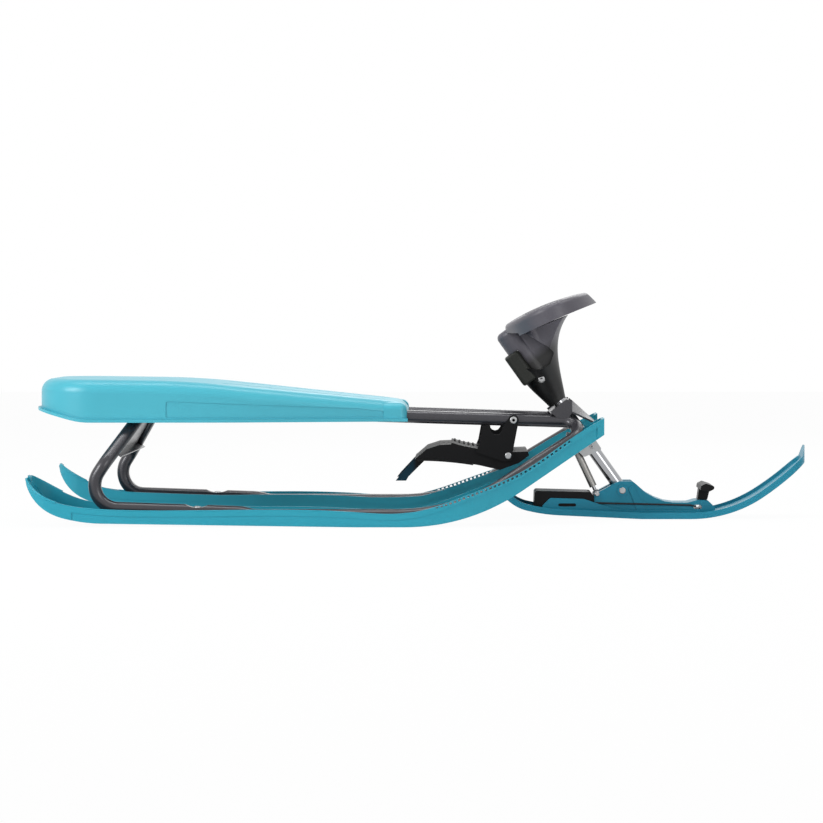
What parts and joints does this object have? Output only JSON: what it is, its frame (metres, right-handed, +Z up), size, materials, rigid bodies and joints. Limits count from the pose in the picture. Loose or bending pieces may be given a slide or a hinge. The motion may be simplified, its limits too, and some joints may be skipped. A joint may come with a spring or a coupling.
{
  "type": "steerable snow racer sled",
  "caption": "Snow racer sled: a moulded seat on bent-tube loops over two outer runners, a front ski turned by a steering wheel, a hinged foot brake and a pull cord.",
  "frame": {"origin": "on the floor plane under the middle of the whole sled's length and width", "axes": "+X forward, towards the ski tip; +Y to the rider's left; +Z up"},
  "size_m": [1.33, 0.49, 0.3918],
  "materials": {
    "shell_plastic": "moulded satin gloss",
    "frame_paint": "dark grey metallic powder coat",
    "brake_paint": "satin black powder coat",
    "bright_steel": "bright plated",
    "zinc_steel": "zinc plated",
    "black_plastic": "fine moulded grain",
    "cord": "braided"
  },
  "bodies": {
    "frame": {"frame_loop_left": "frame_paint", "frame_loop_right": "frame_paint", "rear_brace": "frame_paint", "head_bracket": "frame_paint", "head_bush": "black_plastic", "runner_left": "shell_plastic", "runner_right": "shell_plastic", "seat": "shell_plastic", "brake_hanger_left": "frame_paint", "brake_hanger_right": "frame_paint", "brake_pin": "zinc_steel"},
    "steering": {"steering_column": "bright_steel", "steering_wheel": "black_plastic", "wheel_pad": "black_plastic", "column_bracket": "frame_paint", "damper_body": "zinc_steel", "damper_rod": "bright_steel", "damper_top_pin": "zinc_steel", "damper_foot_pin": "zinc_steel", "ski_mount": "shell_plastic", "ski_pivot_bolt": "zinc_steel", "front_ski": "shell_plastic", "cord_reel_housing": "black_plastic", "pull_cord": "cord", "pull_handle": "black_plastic"},
    "brake": {"brake_pedal": "brake_paint"}
  },
  "joints": [
    {"name": "steering_turn", "type": "hinge", "parent": "frame", "child": "steering", "pos_m": [0.35, 0, 0.0478], "axis": [-0.5807, 0, 0.8141], "range_deg": [-25, 25]},
    {"name": "brake_press", "type": "hinge", "parent": "frame", "child": "brake", "pos_m": [0.15, 0, 0.112], "axis": [0, -1, 0], "range_deg": [0, 24], "stiffness_Nm_per_rad": 2, "springref_deg": -22.92}
  ]
}
